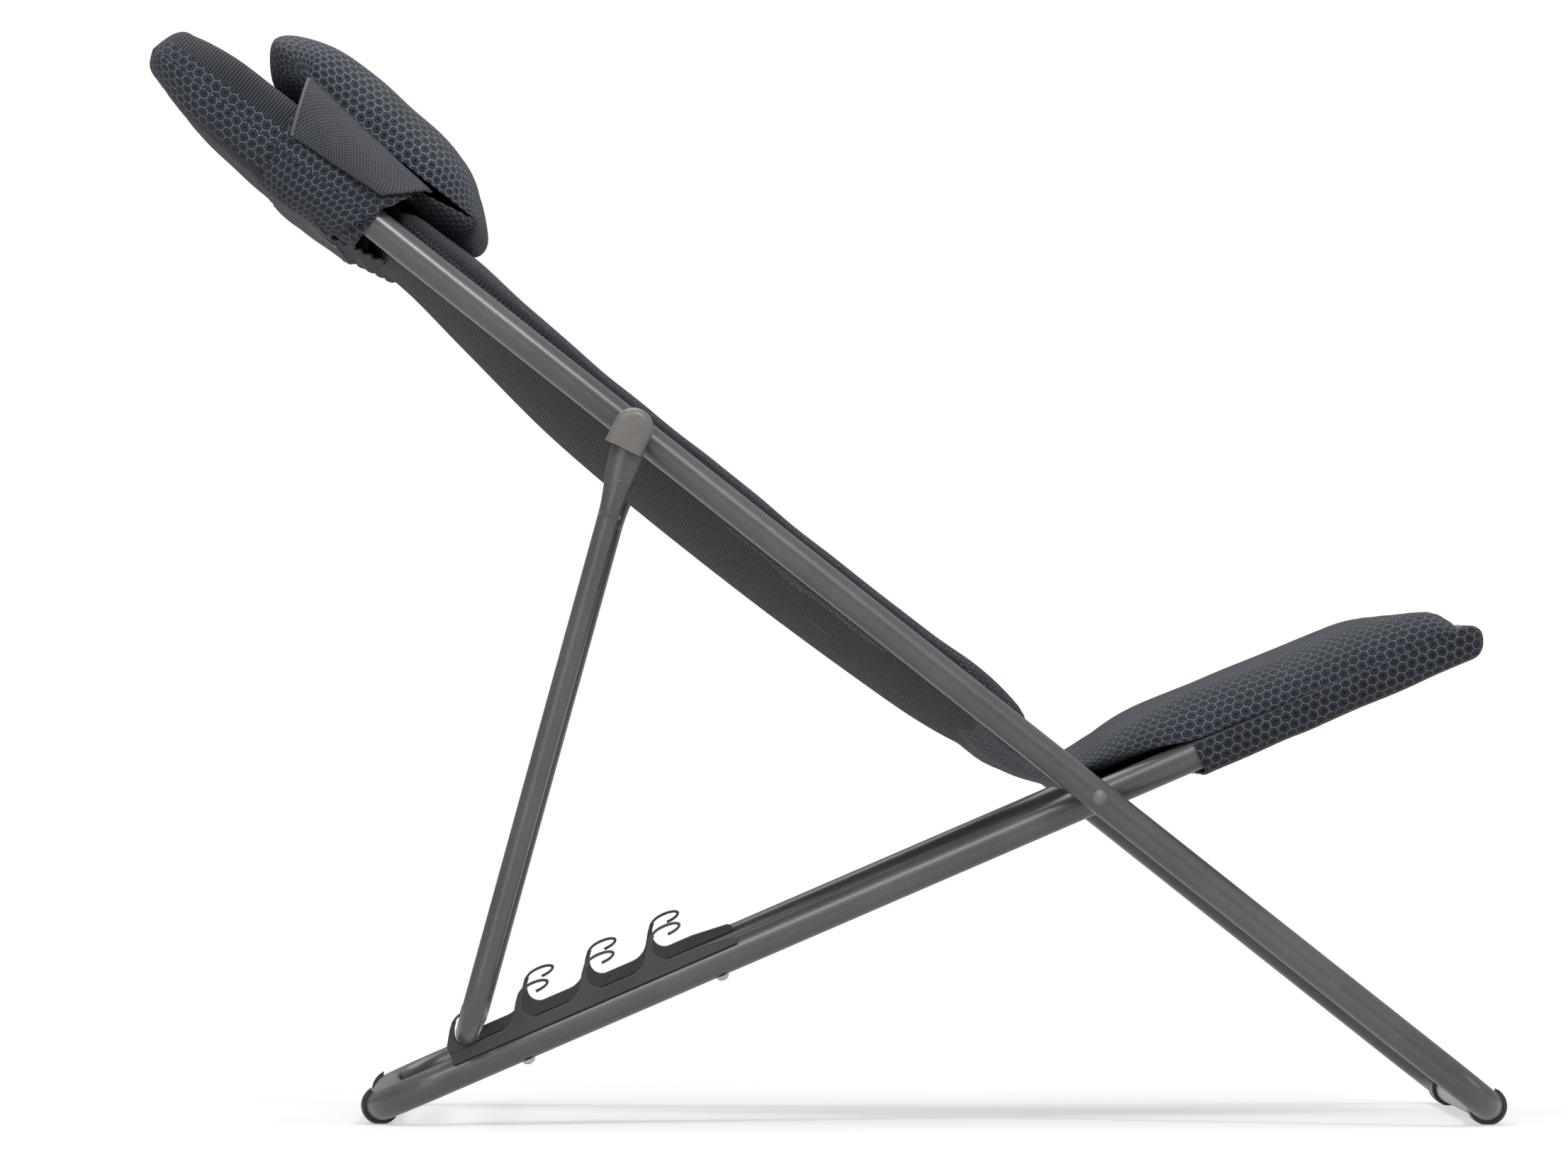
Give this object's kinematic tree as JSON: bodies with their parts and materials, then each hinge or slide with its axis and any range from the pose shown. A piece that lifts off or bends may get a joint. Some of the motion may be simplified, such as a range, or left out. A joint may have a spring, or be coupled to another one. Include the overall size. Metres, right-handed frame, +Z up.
{
  "type": "folding padded lounge chair",
  "caption": "Folding padded lounge chair: crossed tube frames, a hinged prop that stands in notched racks, a padded sling and a sliding head pillow.",
  "frame": {"origin": "on the floor, in the middle of the footprint box", "axes": "+Z up, -Y the way the sitter faces, +X to the sitter's left"},
  "size_m": [0.66, 1.0938, 0.8735],
  "materials": {
    "frame_paint": "satin warm grey powder coat with a fine texture",
    "steel": "plain domed steel heads",
    "cap_plastic": "smooth warm grey moulded plastic",
    "dark_plastic": "dark grey moulded plastic",
    "spacer_mesh": "blue-grey honeycomb spacer mesh over soft padding",
    "fine_mesh": "fine plain mesh",
    "sling_mesh": "dark ribbed carrying mesh and elastic"
  },
  "bodies": {
    "back_frame": {"back_tube_left": "frame_paint", "back_tube_right": "frame_paint", "front_floor_tube": "frame_paint", "top_tube": "frame_paint", "pivot_rivet_left": "steel", "pivot_rivet_right": "steel", "pivot_spacer_left": "dark_plastic", "pivot_spacer_right": "dark_plastic", "hinge_pin_left": "steel", "hinge_pin_right": "steel", "hinge_spacer_left": "dark_plastic", "hinge_spacer_right": "dark_plastic", "front_foot_left": "dark_plastic", "front_foot_right": "dark_plastic", "hood": "spacer_mesh", "hood_elastic": "sling_mesh", "back_pad": "spacer_mesh", "back_sling": "sling_mesh"},
    "seat_frame": {"seat_rail_left": "frame_paint", "seat_rail_right": "frame_paint", "rear_floor_tube": "frame_paint", "seat_front_tube": "frame_paint", "notch_rack_left": "dark_plastic", "notch_rack_right": "dark_plastic", "snap_hook_left": "dark_plastic", "snap_hook_right": "dark_plastic", "rack_screws": "steel", "rear_foot_left": "dark_plastic", "rear_foot_right": "dark_plastic", "seat_pad": "spacer_mesh", "seat_pocket": "spacer_mesh", "seat_sling": "sling_mesh"},
    "prop": {"prop_leg_left": "frame_paint", "prop_leg_right": "frame_paint", "prop_cross_tube": "frame_paint", "prop_cap_left": "cap_plastic", "prop_cap_right": "cap_plastic"},
    "headrest": {"headrest_pillow": "spacer_mesh", "headrest_wing_left": "fine_mesh", "headrest_wing_right": "fine_mesh", "headrest_band": "spacer_mesh", "headrest_strap": "sling_mesh", "strap_buckle": "dark_plastic"}
  },
  "joints": [
    {"name": "frame_fold", "type": "hinge", "parent": "back_frame", "child": "seat_frame", "pos_m": [0, -0.21658, 0.2644], "axis": [1, 0, 0], "range_deg": [0, 55.7], "deforming": ["snap_hook_left", "snap_hook_right"]},
    {"name": "prop_swing", "type": "hinge", "parent": "back_frame", "child": "prop", "pos_m": [0, 0.15665, 0.55983], "axis": [1, 0, 0], "range_deg": [0, 101.1]},
    {"name": "headrest_slide", "type": "slide", "parent": "back_frame", "child": "headrest", "axis": [0, -0.7841, -0.6206], "range_m": [0, 0.08]}
  ],
  "couplings": [
    {"joint": "prop_swing", "follows": "frame_fold", "ratio": 1.8133}
  ]
}
